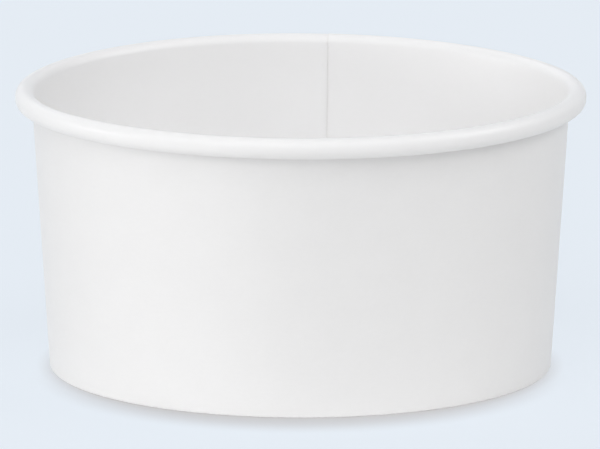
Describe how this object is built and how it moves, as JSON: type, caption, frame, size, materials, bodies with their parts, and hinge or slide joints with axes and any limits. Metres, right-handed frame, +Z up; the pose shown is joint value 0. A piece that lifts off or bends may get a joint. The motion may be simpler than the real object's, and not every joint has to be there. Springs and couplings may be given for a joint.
{
  "type": "paper sundae cup",
  "caption": "Wide shallow paper dessert cup with a rolled rim, a lapped side seam and a recessed bottom disc, for ice cream or another single serving.",
  "frame": {"origin": "centre of the foot's flat underside, on the surface that the cup stands on", "axes": "+Z up along the cup's axis, out of its mouth; the side seam is at the back, near +Y"},
  "size_m": [0.0952, 0.095, 0.0474],
  "materials": {
    "wall_board": "satin",
    "bottom_board": "satin"
  },
  "bodies": {
    "root": {"sidewall": "wall_board", "bottom_disc": "bottom_board"}
  },
  "joints": []
}
